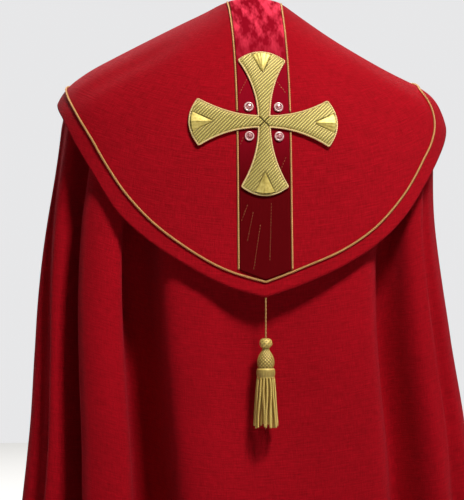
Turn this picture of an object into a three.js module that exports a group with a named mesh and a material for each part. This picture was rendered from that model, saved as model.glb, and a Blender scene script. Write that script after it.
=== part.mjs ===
// A cope: a semicircular cloak of red cloth, worn open down the front, with a deep pointed hood
// over the shoulders and back, a velvet strip, a goldwork cross and a tassel.
//
// Millimetres, +Z up. The wearer faces -Y, so the hood hangs on the +Y side and +X is the wearer's
// left. The origin is the middle of the neck opening, level with its sides, where the shoulders
// carry the garment.
//
// The cloth is described by a bearing, in degrees round the body from the middle of the back
// (positive to the wearer's left), and a reach, the length of cloth down from the neckline.

import * as THREE from "three";
import { mergeVertices } from "three/addons/utils/BufferGeometryUtils.js";

// ---------------------------------------------------------------------------------- sizes, in mm

const NECK = { side: 65, back: 55, front: 72, heightSide: 0, heightBack: 17, heightFront: -46 };
const GAP = 0.3;                                   // between pieces that touch
const CLEAR = 1.4;                                 // between the curved hood and what lies on it
const BODY = { reach: 1420, wall: 2.2, stepsPerFold: 3 };
const HOOD = { wall: 3, liftNeck: 4.6, liftGain: 14, liftReach: 440, frontBearing: 168 };
const STRIP = { halfWidth: 35.8, wall: 1.4, top: 3, pointed: 0.4, cordGap: 0.4, cordEnd: 428 };
const CORD = { radius: 1.6, sides: 8 };
const EDGE_CORD = { end: 164, side: 80, back: 70, middle: 8, steps: 76 };
const ROUND_SIDES = 12;                            // of the stones and the tassel
const CROSS = { reach: 218, arm: 103.5, corner: 91, halfEnd: 31.2, halfWaist: 6.5, flare: 2.2,
  wall: 3, cordRadius: 1.4, cordSteps: 36, droop: 0.001, spare: 1.6 };
const WEDGE = { length: 30, halfBase: 14, halfTip: 1, inset: 2, edge: 0.8, ridge: 2.6 };
const STONE = { offset: 21, radius: 7, height: 4.5 };
const TASSEL = { cord: 57, cordRadius: 1.25, cordSteps: 10, hang: 0.5 };
const MORSE = { top: 168, bottom: 226, lift: 4.2, wall: 2.5, overlap: 30 };
const HOOK = { width: 16, height: 10, thickness: 1.2, inset: 4, eyeLift: 0.5 };

// How steeply the cloth lies: degrees below level at a reach, down the back, side and front.
const DRAPE = [
  { reach: 0, back: 46, side: 24, front: 44 },
  { reach: 60, back: 54, side: 28, front: 52 },
  { reach: 120, back: 66, side: 29, front: 62 },
  { reach: 180, back: 77, side: 30, front: 73 },
  { reach: 225, back: 83, side: 40, front: 80 },
  { reach: 260, back: 87, side: 66, front: 85 },
  { reach: 300, back: 88, side: 84, front: 88 },
  { reach: 360, back: 88, side: 87, front: 88 },
  { reach: 460, back: 87.5, side: 84.5, front: 88 },
  { reach: 760, back: 86.5, side: 84.5, front: 87 },
  { reach: 1420, back: 86, side: 85, front: 86.5 },
];

// Square: how far the plan leaves an ellipse. Gap: half the width of the opening at the front.
const PLAN = [
  { reach: 0, square: 0, gap: 34 },
  { reach: 150, square: 0.03, gap: 37 },
  { reach: 300, square: 0.1, gap: 46 },
  { reach: 760, square: 0.12, gap: 84 },
  { reach: 1420, square: 0.1, gap: 118 },
];

// Drop: how far the right shoulder hangs below the left. Aside: how far the cloak sways to the left.
const LEAN = [
  { reach: 0, drop: 2, aside: 0 },
  { reach: 60, drop: 11, aside: 0 },
  { reach: 120, drop: 14, aside: 0 },
  { reach: 180, drop: 13, aside: 0 },
  { reach: 225, drop: 7, aside: 0 },
  { reach: 260, drop: 2, aside: 0 },
  { reach: 330, drop: 0, aside: 2 },
  { reach: 430, drop: 0, aside: 10 },
  { reach: 520, drop: 0, aside: 11 },
  { reach: 620, drop: 0, aside: 7 },
  { reach: 760, drop: 0, aside: 0 },
  { reach: 1420, drop: 0, aside: 0 },
];

// One row for each crest and trough of the cloak, from the right front edge round the back to the
// left front edge. Bearing under the hood, at the knee and at the hem; how far the cloth stands out
// just below the hood, at the knee and at the hem; and how steep the flank is to the next row (0
// soft, 1 upright, more where it overhangs).
const FOLDS = [
  { name: "right edge", high: -171, low: -171, hem: -171, upper: 0, out: 0, flare: 4, roll: 0.3 },
  { name: "right trough 1", high: -160, low: -161, hem: -160, upper: -10, out: -24, flare: -30, roll: 0.7 },
  { name: "right crest 1", high: -150, low: -151, hem: -149, upper: 0, out: 6, flare: 16, roll: 0.9 },
  { name: "right trough 2", high: -139, low: -139, hem: -138, upper: -20, out: -44, flare: -58, roll: 1 },
  { name: "right crest 2", high: -128, low: -127, hem: -125, upper: 2, out: 10, flare: 26, roll: 0.9 },
  { name: "right trough 3", high: -117, low: -115, hem: -114, upper: -22, out: -50, flare: -60, roll: 1 },
  { name: "right crest 3", high: -106, low: -103, hem: -102, upper: 0, out: 6, flare: 24, roll: 0.8 },
  { name: "right arm trough", high: -94, low: -90, hem: -89, upper: -20, out: -40, flare: -48, roll: 0.9 },
  { name: "right side crest", high: -74, low: -71, hem: -72, upper: -12, out: -2, flare: 22, roll: 0.6 },
  { name: "right side crease", high: -64, low: -58, hem: -57, upper: -16, out: -16, flare: -22, roll: 0.8 },
  { name: "right ridge", high: -54, low: -50, hem: -49, upper: -4, out: 0, flare: 20, roll: 1.1 },
  { name: "right dark trough", high: -44, low: -42, hem: -41, upper: -38, out: -78, flare: -96, roll: 0.4 },
  { name: "right panel edge", high: -29, low: -24.5, hem: -24, upper: 0, out: 3, flare: 22, roll: 0.2 },
  { name: "back middle", high: 0, low: -2, hem: -3, upper: -6, out: -14, flare: -8, roll: 0.2 },
  { name: "left panel edge", high: 20, low: 15, hem: 14, upper: 0, out: 0, flare: 20, roll: 0.35 },
  { name: "left deep trough", high: 34, low: 28.5, hem: 28, upper: -48, out: -96, flare: -118, roll: 2.6 },
  { name: "left big ridge", high: 46, low: 37, hem: 36, upper: 2, out: 14, flare: 32, roll: 1.4 },
  { name: "left dark trough", high: 63, low: 56.5, hem: 55, upper: -38, out: -74, flare: -92, roll: 1.1 },
  { name: "left outer ridge", high: 71, low: 63, hem: 62, upper: -2, out: -4, flare: 18, roll: 0.5 },
  { name: "left side crease", high: 77, low: 69, hem: 69, upper: -8, out: -16, flare: -20, roll: 0.6 },
  { name: "left side crest", high: 87, low: 81, hem: 80, upper: -4, out: 2, flare: 22, roll: 0.8 },
  { name: "left arm trough", high: 97, low: 93, hem: 92, upper: -20, out: -44, flare: -56, roll: 1 },
  { name: "left crest 3", high: 107, low: 105, hem: 104, upper: 0, out: 6, flare: 26, roll: 0.9 },
  { name: "left trough 3", high: 119, low: 118, hem: 116, upper: -22, out: -52, flare: -64, roll: 1 },
  { name: "left crest 2", high: 131, low: 130, hem: 129, upper: 2, out: 12, flare: 28, roll: 0.9 },
  { name: "left trough 2", high: 142, low: 142, hem: 141, upper: -18, out: -40, flare: -52, roll: 0.9 },
  { name: "left crest 1", high: 152, low: 153, hem: 152, upper: 0, out: 6, flare: 18, roll: 0.8 },
  { name: "left trough 1", high: 162, low: 162, hem: 162, upper: -10, out: -22, flare: -28, roll: 0.4 },
  { name: "left edge", high: 171, low: 171, hem: 171, upper: 0, out: 0, flare: 4, roll: 0 },
];
const EDGE_BEARING = 171;                          // the front edges' bearing in the table above
const FIXED_BEARING = 100;                         // folds nearer the back keep their bearing
const FOLD_REACH = { start: 120, upper: 330, knee: 620 };
const BEARING_REACH = { high: 400, low: 800 };
const SHALLOW_ROLL = 0.6;                          // the steepest flank where folds have no depth

// The rows of cloth down the cloak, by reach.
const BODY_REACHES = [0, 60, 120, 180, 240, 310, 390, 490, 620, 800, 1100, 1420];

// The hood's edge and the gold cord just inside it, by bearing, on the wearer's left and right.
const HOOD_EDGE = [
  { bearing: 0, left: 468, right: 468, cordLeft: 446, cordRight: 446 },
  { bearing: 10, left: 453, right: 450, cordLeft: 430, cordRight: 426 },
  { bearing: 20, left: 430, right: 432, cordLeft: 405, cordRight: 409 },
  { bearing: 30, left: 407, right: 412, cordLeft: 376, cordRight: 386 },
  { bearing: 40, left: 379, right: 386, cordLeft: 339, cordRight: 354 },
  { bearing: 50, left: 337, right: 353, cordLeft: 297, cordRight: 317 },
  { bearing: 60, left: 305, right: 326, cordLeft: 272, cordRight: 284 },
  { bearing: 70, left: 283, right: 306, cordLeft: 256, cordRight: 228 },
  { bearing: 80, left: 271, right: 290, cordLeft: 245, cordRight: 214 },
  { bearing: 90, left: 261, right: 276, cordLeft: 237, cordRight: 206 },
  { bearing: 110, left: 239, right: 251, cordLeft: 216, cordRight: 196 },
  { bearing: 130, left: 208, right: 214, cordLeft: 185, cordRight: 176 },
  { bearing: 150, left: 166, right: 168, cordLeft: 143, cordRight: 143 },
  { bearing: 171, left: 126, right: 126, cordLeft: 103, cordRight: 103 },
];
const HOOD_ROWS = 16;
const HOOD_BEARINGS = [0, 5, 10, 15, 20, 25, 32, 40, 50, 60, 70, 82, 95, 110, 130, 150];

// The tassel's pieces from the top down: radius down the length of each, as radius and depth.
const TASSEL_PIECES = [
  { name: "tassel_knob", length: 14, shape: [[3.4, 0], [7.2, 3.6], [8.4, 7.4], [7.0, 11.6], [4.2, 14]] },
  { name: "tassel_bulb", length: 27,
    shape: [[4.4, 0], [5.4, 4], [9.6, 10], [11.7, 17], [11.4, 23], [10, 27]] },
  { name: "tassel_collar", length: 14, shape: [[10.4, 0], [12.6, 3.4], [13.1, 8], [12, 14]] },
  { name: "tassel_skirt", length: 71, shape: [[12.2, 0], [14.4, 8], [15.6, 26], [16.8, 50], [18, 71]] },
];

// ------------------------------------------------------------------------------------ materials

const finish = (color, roughness, metalness) =>
  new THREE.MeshStandardMaterial({ color, roughness, metalness });
const RED_CLOTH = finish(0xa50d1e, 0.85, 0);
const VELVET = finish(0x6a0312, 0.7, 0);
const GOLD_THREAD = finish(0xa88a52, 0.45, 0.6);
const GOLD_SHINE = finish(0xdcd190, 0.25, 0.8);
const COPPER_CORD = finish(0xb8704a, 0.5, 0.4);
const CRYSTAL = finish(0xd9a9a6, 0.15, 0.2);
const BRASS = finish(0xb08d4a, 0.35, 0.9);

// ------------------------------------------------------------------------------- small measures

const radians = THREE.MathUtils.degToRad;
const mix = THREE.MathUtils.lerp;
const ease = THREE.MathUtils.smoothstep;
const range = (count, from = 0, to = 1) =>
  Array.from({ length: count + 1 }, (_, step) => mix(from, to, step / count));

/** The value of one column of a table at a place along its key, straight between the rows. */
function straight(table, key, column, at) {
  let row = 0;
  while (row < table.length - 2 && table[row + 1][key] < at) row += 1;
  const [a, b] = [table[row], table[row + 1]];
  const share = THREE.MathUtils.clamp((at - a[key]) / (b[key] - a[key]), 0, 1);
  return mix(a[column], b[column], share);
}

/** The same, on a smooth curve through the rows, with a free slope at both ends. */
function curved(table, key, column, at) {
  let row = 0;
  while (row < table.length - 2 && table[row + 1][key] < at) row += 1;
  const [a, b] = [table[row], table[row + 1]];
  const before = table[row - 1] ?? a;
  const after = table[row + 2] ?? b;
  const span = b[key] - a[key];
  const share = THREE.MathUtils.clamp((at - a[key]) / span, 0, 1);
  const slope = (p, q) => ((q[column] - p[column]) / (q[key] - p[key])) * span;
  const out = slope(before, b);
  const into = slope(a, after);
  const [s2, s3] = [share ** 2, share ** 3];
  return (2 * s3 - 3 * s2 + 1) * a[column] + (s3 - 2 * s2 + share) * out
    + (3 * s2 - 2 * s3) * b[column] + (s3 - s2) * into;
}

/** Walks down one line of the drape and gives how far out and how high the cloth is by reach. */
function drapeLine(column, startOut, startHeight) {
  const step = 5;
  const line = [{ reach: 0, out: startOut, height: startHeight }];
  while (line.at(-1).reach < BODY.reach) {
    const last = line.at(-1);
    const slope = radians(straight(DRAPE, "reach", column, last.reach + step / 2));
    line.push({
      reach: last.reach + step,
      out: last.out + step * Math.cos(slope),
      height: last.height - step * Math.sin(slope),
    });
  }
  return (reach, what) => {
    const row = Math.min(Math.floor(reach / step), line.length - 2);
    return mix(line[row][what], line[row + 1][what], reach / step - row);
  };
}

// ------------------------------------------------------------------------- the form of the cloth

const BACK_LINE = drapeLine("back", NECK.back, NECK.heightBack);
const SIDE_LINE = drapeLine("side", NECK.side, NECK.heightSide);
const FRONT_LINE = drapeLine("front", NECK.front, NECK.heightFront);

/** A point of the smooth form that all the cloth follows, before its folds. */
function formPoint(bearing, reach) {
  const [sine, cosine] = [Math.sin(radians(bearing)), Math.cos(radians(bearing))];
  const middle = cosine > 0 ? BACK_LINE : FRONT_LINE;
  const square = straight(PLAN, "reach", "square", reach);
  const drop = curved(LEAN, "reach", "drop", reach) * Math.max(-sine, 0) ** 1.5;
  return new THREE.Vector3(
    SIDE_LINE(reach, "out") * sine * (1 + square * cosine ** 2),
    middle(reach, "out") * cosine * (1 + square * sine ** 2),
    mix(SIDE_LINE(reach, "height"), middle(reach, "height"), cosine ** 2) - drop,
  );
}

/** The outward direction of a surface given as point(across, down). */
function outward(point, across, down, stepAcross, stepDown) {
  const along = point(across + stepAcross, down).sub(point(across - stepAcross, down));
  const below = point(across, down + stepDown).sub(point(across, Math.max(down - stepDown, 0)));
  return along.cross(below).normalize();
}

const formOutward = (bearing, reach) => outward(formPoint, bearing, reach, 0.2, 2);

/** The bearing of a front edge at a reach, from the width of the opening there. */
function edgeBearing(reach) {
  return 180 - THREE.MathUtils.radToDeg(Math.asin(
    straight(PLAN, "reach", "gap", reach) / SIDE_LINE(reach, "out")));
}

/** Moves a bearing of the tables so that the front edges keep the opening's width. */
function fitted(bearing, reach) {
  const size = Math.abs(bearing);
  if (size <= FIXED_BEARING) return bearing;
  const share = (size - FIXED_BEARING) / (EDGE_BEARING - FIXED_BEARING);
  return Math.sign(bearing) * mix(FIXED_BEARING, edgeBearing(reach), share);
}

/** A crest's or trough's bearing at a reach. */
function foldBearing(fold, reach) {
  const { high, low } = BEARING_REACH;
  const upper = mix(fold.high, fold.low, THREE.MathUtils.clamp((reach - high) / (low - high), 0, 1));
  const share = THREE.MathUtils.clamp((reach - low) / (BODY.reach - low), 0, 1);
  return fitted(mix(upper, fold.hem, share), reach);
}

/** How far a crest or trough stands out from the form at a reach. */
function foldOut(fold, reach) {
  const { start, upper, knee } = FOLD_REACH;
  const high = ease(reach, start, upper) * fold.upper;
  const low = mix(high, fold.out, ease(reach, upper, knee));
  return mix(low, fold.flare, THREE.MathUtils.clamp((reach - knee) / (BODY.reach - knee), 0, 1));
}

/** How steep a flank is at a reach: it grows steep with the depth of its fold. */
function foldRoll(fold, reach) {
  const shallow = Math.min(fold.roll, SHALLOW_ROLL);
  return mix(shallow, fold.roll, ease(reach, FOLD_REACH.start, FOLD_REACH.upper));
}

/** A point on the cloak's outer face. place counts along the rows of FOLDS. */
function cloakPoint(place, reach) {
  const row = THREE.MathUtils.clamp(Math.floor(place), 0, FOLDS.length - 2);
  const share = place - row;
  const [a, b] = [FOLDS[row], FOLDS[row + 1]];
  const along = share + (foldRoll(a, reach) * Math.sin(2 * Math.PI * share)) / (2 * Math.PI);
  const bearing = mix(foldBearing(a, reach), foldBearing(b, reach), along);
  const out = mix(foldOut(a, reach), foldOut(b, reach), (1 - Math.cos(Math.PI * share)) / 2);
  const point = formPoint(bearing, reach).addScaledVector(formOutward(bearing, reach), out);
  point.x += curved(LEAN, "reach", "aside", reach);
  return point;
}

/** The cloak's surface, lifted along its own outward direction. */
function cloakSurface(place, reach, lift) {
  return cloakPoint(place, reach).addScaledVector(outward(cloakPoint, place, reach, 0.02, 2), lift);
}

/** The hood's outer face, lifted from it. */
function hoodSurface(bearing, reach, lift) {
  const stand = HOOD.liftNeck + HOOD.liftGain * (reach / HOOD.liftReach) ** 1.5;
  const turned = fitted(bearing, reach);
  return formPoint(turned, reach).addScaledVector(formOutward(turned, reach), stand + lift);
}

/** The reach of the hood's edge, or of its cord, at a bearing. */
function hoodReach(bearing, what) {
  const side = bearing < 0 ? "Right" : "Left";
  const column = what === "edge" ? side.toLowerCase() : what + side;
  return curved(HOOD_EDGE, "bearing", column, Math.abs(bearing));
}

/** A place on the hood's back, by distance sideways from its middle line. */
function onHood(sideways, reach, lift) {
  const square = straight(PLAN, "reach", "square", reach);
  const wide = SIDE_LINE(reach, "out");
  let bearing = 0;
  for (let pass = 0; pass < 4; pass += 1) {
    const grown = 1 + square * Math.cos(radians(bearing)) ** 2;
    bearing = THREE.MathUtils.radToDeg(Math.asin(sideways / (wide * grown)));
  }
  return hoodSurface(bearing, reach, lift);
}

// ------------------------------------------------------------------------------ making the solids

/** A closed geometry from points and triangles, with its faces turned outward. */
function closed(points, faces) {
  const volume = faces.reduce((sum, [a, b, c]) =>
    sum + points[a].dot(points[b].clone().cross(points[c])), 0);
  const turned = volume < 0 ? faces.map(([a, b, c]) => [a, c, b]) : faces;
  const geometry = new THREE.BufferGeometry();
  geometry.setAttribute("position",
    new THREE.Float32BufferAttribute(points.flatMap((p) => [p.x, p.y, p.z]), 3));
  geometry.setIndex(turned.flat());
  geometry.computeVertexNormals();
  return geometry;
}

/** A wall of cloth between two lifts of surface(across, down, lift), closed round its rim. */
function wall(surface, across, down, low, high) {
  const height = (level, u, v) => (typeof level === "function" ? level(u, v) : level);
  const points = [];
  for (const level of [high, low]) {
    for (const v of down) {
      for (const u of across) points.push(surface(u, v, height(level, u, v)));
    }
  }
  const [wide, deep] = [across.length, down.length];
  const inner = wide * deep;
  const at = (i, j) => j * wide + i;
  const faces = [];
  const quad = (a, b, c, d) => faces.push([a, b, c], [a, c, d]);
  for (let j = 0; j < deep - 1; j += 1) {
    for (let i = 0; i < wide - 1; i += 1) {
      const [a, b, c, d] = [at(i, j), at(i + 1, j), at(i + 1, j + 1), at(i, j + 1)];
      quad(a, b, c, d);
      quad(inner + a, inner + d, inner + c, inner + b);
    }
  }
  const rim = (a, b) => quad(b, a, inner + a, inner + b);
  for (let i = 0; i < wide - 1; i += 1) {
    rim(at(i, 0), at(i + 1, 0));
    rim(at(i + 1, deep - 1), at(i, deep - 1));
  }
  for (let j = 0; j < deep - 1; j += 1) {
    rim(at(wide - 1, j), at(wide - 1, j + 1));
    rim(at(0, j + 1), at(0, j));
  }
  return closed(points, faces);
}

/** A round cord along points. */
function cord(points, radius, steps) {
  const section = new THREE.Shape(Array.from({ length: CORD.sides }, (_, side) => {
    const angle = (2 * Math.PI * side) / CORD.sides;
    return new THREE.Vector2(radius * Math.cos(angle), radius * Math.sin(angle));
  }));
  const geometry = new THREE.ExtrudeGeometry(section, {
    steps, bevelEnabled: false, extrudePath: new THREE.CatmullRomCurve3(points),
  });
  geometry.deleteAttribute("uv");
  geometry.deleteAttribute("normal");
  return mergeVertices(geometry, 1e-4);
}

/** A turned solid standing on its origin, from [radius, height] pairs, bottom first. */
function turned(profile, sides) {
  const outline = [[0, profile[0][1]], ...profile, [0, profile.at(-1)[1]]];
  const geometry = new THREE.LatheGeometry(outline.map(([x, y]) => new THREE.Vector2(x, y)), sides);
  geometry.rotateX(Math.PI / 2);
  geometry.deleteAttribute("uv");
  geometry.deleteAttribute("normal");
  return mergeVertices(geometry, 1e-4);
}

const cope = new THREE.Group();

function add(name, geometry, material) {
  const mesh = new THREE.Mesh(geometry, material);
  mesh.name = name;
  cope.add(mesh);
  return mesh;
}

// ----------------------------------------------------------------------------------- the garment

/** The cloak itself: one sheet of cloth from front edge to front edge. */
function makeBody() {
  const places = range((FOLDS.length - 1) * BODY.stepsPerFold, 0, FOLDS.length - 1);
  add("cope_body", wall(cloakSurface, places, BODY_REACHES, -BODY.wall, 0), RED_CLOTH);
}

/** The hood: a pointed panel over the back and shoulders, narrowing to the front edges. */
function makeHood() {
  const half = [...HOOD_BEARINGS.slice(1), HOOD.frontBearing];
  const bearings = [...half.map((bearing) => -bearing).reverse(), 0, ...half];
  const surface = (bearing, share, lift) =>
    hoodSurface(bearing, share * hoodReach(bearing, "edge"), lift);
  add("hood", wall(surface, bearings, range(HOOD_ROWS), -HOOD.wall, 0), RED_CLOTH);
}

/** The velvet strip down the middle of the hood, and the cord along each of its sides. */
function makeStrip() {
  const end = (sideways) => CORD.radius + 2 * GAP + Math.abs(sideways) * STRIP.pointed;
  const surface = (sideways, share, lift) =>
    onHood(sideways, mix(STRIP.top, HOOD_EDGE[0].cordLeft - end(sideways), share), lift);
  const { halfWidth, wall: thick } = STRIP;
  add("velvet_strip",
    wall(surface, range(6, -halfWidth, halfWidth), range(16), CLEAR, CLEAR + thick), VELVET);
  const sideways = halfWidth + STRIP.cordGap + CORD.radius;
  const crossing = armHalfWidth(sideways) + 2 * CORD.radius + 2 * GAP + CROSS.spare;
  const stretches = [
    { name: "upper", from: STRIP.top, to: CROSS.reach - crossing, steps: 8 },
    { name: "lower", from: CROSS.reach + crossing, to: STRIP.cordEnd, steps: 8 },
  ];
  for (const [side, sign] of [["left", 1], ["right", -1]]) {
    for (const { name, from, to, steps } of stretches) {
      const path = range(steps, from, to).map((reach) =>
        onHood(sign * sideways, reach, CLEAR + CORD.radius));
      add(`strip_cord_${side}_${name}`, cord(path, CORD.radius, steps), COPPER_CORD);
    }
  }
}

/** The gold cord sewn just inside the hood's edge. */
function makeEdgeCord() {
  const { end, side, back, middle, steps } = EDGE_CORD;
  const half = [...range(7, middle, back), ...range(9, side, end)];
  const bearings = [...half.map((bearing) => -bearing).reverse(), 0, ...half];
  const path = bearings.map((bearing) =>
    hoodSurface(bearing, hoodReach(bearing, "cord"), CLEAR + CORD.radius));
  add("hood_edge_cord", cord(path, CORD.radius, steps), COPPER_CORD);
}

/** Half the width of an arm of the cross at a distance from its middle. */
function armHalfWidth(along) {
  return CROSS.halfWaist + (CROSS.halfEnd - CROSS.halfWaist) * (along / CROSS.corner) ** CROSS.flare;
}

/** A place on the cross, by distance across and along an arm that points a quarter turn at a time. */
function onCross(quarter, across, along, lift) {
  const [sine, cosine] = [Math.round(Math.sin((quarter * Math.PI) / 2)),
    Math.round(Math.cos((quarter * Math.PI) / 2))];
  const sideways = across * cosine + along * sine;
  const down = across * sine - along * cosine;
  return onHood(sideways, CROSS.reach + down + CROSS.droop * sideways ** 2, lift);
}

/** The four arms of the cross, with a shiny wedge on the end of each and a cord round each. */
function makeCross() {
  const under = CLEAR + STRIP.wall + GAP;
  const bulge = CROSS.arm - CROSS.corner;
  const end = (share) => CROSS.corner + bulge * (1 - share ** 2);
  ["top", "left", "bottom", "right"].forEach((name, quarter) => {
    const arm = (share, length, lift) => {
      const along = mix(CROSS.halfWaist * Math.abs(share) + GAP, end(share), length);
      return onCross(quarter, share * armHalfWidth(Math.min(along, CROSS.corner)), along, lift);
    };
    add(`cross_arm_${name}`, wall(arm, range(4, -1, 1), range(7), under, under + CROSS.wall),
      GOLD_THREAD);

    const top = under + CROSS.wall + GAP;
    const wedge = (share, length, lift) => {
      const across = share * mix(WEDGE.halfTip, WEDGE.halfBase, length);
      const base = end(across / CROSS.halfEnd) - WEDGE.inset;
      return onCross(quarter, across, mix(CROSS.arm - WEDGE.length, base, length), lift);
    };
    const crown = (share) => top + WEDGE.edge + WEDGE.ridge * (1 - Math.abs(share));
    add(`cross_wedge_${name}`, wall(wedge, range(4, -1, 1), range(4), top, crown), GOLD_SHINE);

    const clear = 3 * GAP + CROSS.cordRadius;
    const lift = under + CROSS.cordRadius;
    const side = range(6, CROSS.halfWaist + 2 * clear, CROSS.corner - 2).map((along) =>
      [armHalfWidth(along) + clear, along]);
    const round = range(6, -1, 1).map((share) =>
      [share * (CROSS.halfEnd + clear), end(share) + clear * (1 + 0.5 * share ** 4)]);
    const path = [...side.map(([across, along]) => [-across, along]), ...round,
      ...side.reverse()].map(([across, along]) => onCross(quarter, across, along, lift));
    add(`cross_cord_${name}`, cord(path, CROSS.cordRadius, CROSS.cordSteps), COPPER_CORD);
  });
}

/** The four round stones between the arms. */
function makeStones() {
  const { offset, radius, height } = STONE;
  const under = CLEAR + STRIP.wall + 2 * GAP;
  const shape = [[radius, 0], [radius, height * 0.5], [radius * 0.8, height * 0.85],
    [radius * 0.4, height]];
  for (const [side, across] of [["left", offset], ["right", -offset]]) {
    for (const [level, down] of [["upper", -offset], ["lower", offset]]) {
      const stone = add(`stone_${level}_${side}`, turned(shape, ROUND_SIDES), CRYSTAL);
      const foot = onHood(across, CROSS.reach + down, under);
      const ahead = onHood(across, CROSS.reach + down, under + 1);
      stone.position.copy(foot);
      stone.quaternion.setFromUnitVectors(new THREE.Vector3(0, 0, 1), ahead.sub(foot));
    }
  }
}

/** The cord from the hood's point and the tassel on it. */
function makeTassel() {
  const tip = hoodSurface(0, HOOD_EDGE[0].left, -HOOD.wall / 2);
  const top = tip.clone().add(new THREE.Vector3(0, 0, -TASSEL.hang));
  const path = range(6, 0, TASSEL.cord).map((down) => top.clone().setZ(top.z - down));
  add("tassel_cord", cord(path, TASSEL.cordRadius, TASSEL.cordSteps), COPPER_CORD);
  let height = top.z - TASSEL.cord - GAP;
  for (const { name, length, shape } of TASSEL_PIECES) {
    const profile = shape.map(([radius, depth]) => [radius, -depth]).reverse();
    const piece = add(name, turned(profile, ROUND_SIDES), GOLD_THREAD);
    piece.position.set(top.x, top.y, height);
    height -= length + GAP;
  }
}

/** The plain band that holds the cope closed across the chest, with its hook and eye behind it. */
function makeMorse() {
  const half = straight(PLAN, "reach", "gap", MORSE.bottom) + MORSE.overlap;
  const surface = (sideways, reach, lift) => {
    const bearing = 180 - THREE.MathUtils.radToDeg(Math.asin(sideways / SIDE_LINE(reach, "out")));
    return formPoint(bearing, reach).addScaledVector(formOutward(bearing, reach), lift);
  };
  const { top, bottom, lift, wall: thick } = MORSE;
  add("morse_band", wall(surface, range(8, -half, half), range(4, top, bottom), lift, lift + thick),
    RED_CLOTH);
  const middle = (top + bottom) / 2;
  const fittings = [["morse_hook", lift - GAP - HOOK.thickness], ["morse_eye", HOOK.eyeLift]];
  for (const [name, low] of fittings) {
    const across = range(2, -half + HOOK.inset, -half + HOOK.inset + HOOK.width);
    const down = range(2, middle - HOOK.height / 2, middle + HOOK.height / 2);
    add(name, wall(surface, across, down, low, low + HOOK.thickness), BRASS);
  }
}

makeBody();
makeHood();
makeStrip();
makeEdgeCord();
makeCross();
makeStones();
makeTassel();
makeMorse();

export default cope;
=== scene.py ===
"""A cope: a cloak of red wool with a deep pointed hood, a velvet strip, a goldwork cross and a tassel.

The cloth is described by a bearing, in degrees round the body from the middle of the back (positive
to the wearer's left), and a reach, the length of cloth down from the neckline. Tables are in
millimetres, and meshes in metres.
"""

import bpy
import numpy as np
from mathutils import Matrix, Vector


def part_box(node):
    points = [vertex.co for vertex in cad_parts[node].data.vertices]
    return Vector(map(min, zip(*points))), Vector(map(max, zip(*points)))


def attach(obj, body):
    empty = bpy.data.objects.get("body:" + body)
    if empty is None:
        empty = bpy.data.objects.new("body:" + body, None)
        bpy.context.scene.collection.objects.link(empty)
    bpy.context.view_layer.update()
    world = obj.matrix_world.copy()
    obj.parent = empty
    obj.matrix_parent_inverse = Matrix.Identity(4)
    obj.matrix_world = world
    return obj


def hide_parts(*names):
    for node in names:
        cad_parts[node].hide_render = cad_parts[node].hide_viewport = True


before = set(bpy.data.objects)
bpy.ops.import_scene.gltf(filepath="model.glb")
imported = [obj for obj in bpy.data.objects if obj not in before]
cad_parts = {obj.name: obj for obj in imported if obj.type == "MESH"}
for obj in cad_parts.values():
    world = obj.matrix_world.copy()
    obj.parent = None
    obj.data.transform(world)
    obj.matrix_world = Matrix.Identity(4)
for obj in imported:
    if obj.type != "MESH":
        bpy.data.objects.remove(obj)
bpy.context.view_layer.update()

bl_info = {
    "name": "Cope Builder",
    "version": (1, 0, 0),
    "blender": (4, 5, 0),
    "location": "View3D > Sidebar > Cope",
    "description": "Builds a cope with its hood, cross and tassel round a fixed frame",
    "category": "Object",
}

MM = 0.001

# ------------------------------------------------------------------------------ driving dimensions

NECK = {"side": 65, "back": 55, "front": 72, "height_side": 0, "height_back": 17, "height_front": -46}
BODY = {"reach": 1420, "rows": 96, "per_fold": 10}
HOOD = {"lift_neck": 4.6, "lift_gain": 14, "lift_reach": 440, "front_bearing": 168}
HOOD_GRID = {"rows": 104, "columns": 212}
STRIP = {"half_width": 35.8, "wall": 1.4, "top": 3, "lift": 0.3}
CROSS = {"reach": 218, "arm": 103.5, "corner": 91, "half_end": 31.2, "half_waist": 6.5,
         "flare": 2.2, "wall": 3.2, "cord": 1.4, "droop": 0.001}
THREAD = {"row": 3.6, "bead": 2.9, "height": 0.85, "bead_height": 0.4}
WEDGE = {"length": 30, "half_base": 14, "half_tip": 1, "inset": 1.5, "edge": 0.5, "ridge": 2.8}
STONE = {"offset": 21, "sides": 10, "mount_sides": 24, "lift": 0.2}
# Radius and height, from the foot up: the cut stone, and round the rim of its mount.
STONE_RINGS = [(4.6, 0.2), (4.6, 1.4), (4.3, 2.2), (3.2, 3.1), (1.5, 3.5)]
MOUNT_PROFILE = [(4.5, 0), (6.6, 0), (7.0, 1.2), (6.5, 2.7), (5.6, 3.2), (4.7, 2.6)]
TASSEL = {"cord": 57, "cord_radius": 1.25, "through": 78, "gap": 0.3}
MORSE = {"top": 168, "bottom": 226, "lift": 4.2, "overlap": 30, "gap": 40.3}
FLOOR = {"height": -1.5, "size": 14.0}

# How steeply the cloth lies: degrees below level at a reach, down the back, side and front.
DRAPE = {
    "reach": [0, 60, 120, 180, 225, 260, 300, 360, 460, 760, 1420],
    "back": [46, 54, 66, 77, 83, 87, 88, 88, 87.5, 86.5, 86],
    "side": [24, 28, 29, 30, 40, 66, 84, 87, 84.5, 84.5, 85],
    "front": [44, 52, 62, 73, 80, 85, 88, 88, 88, 87, 86.5],
}

# Square: how far the plan leaves an ellipse. Gap: half the width of the opening at the front.
PLAN = {
    "reach": [0, 150, 300, 760, 1420],
    "square": [0, 0.03, 0.1, 0.12, 0.1],
    "gap": [34, 37, 46, 84, 118],
}

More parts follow.
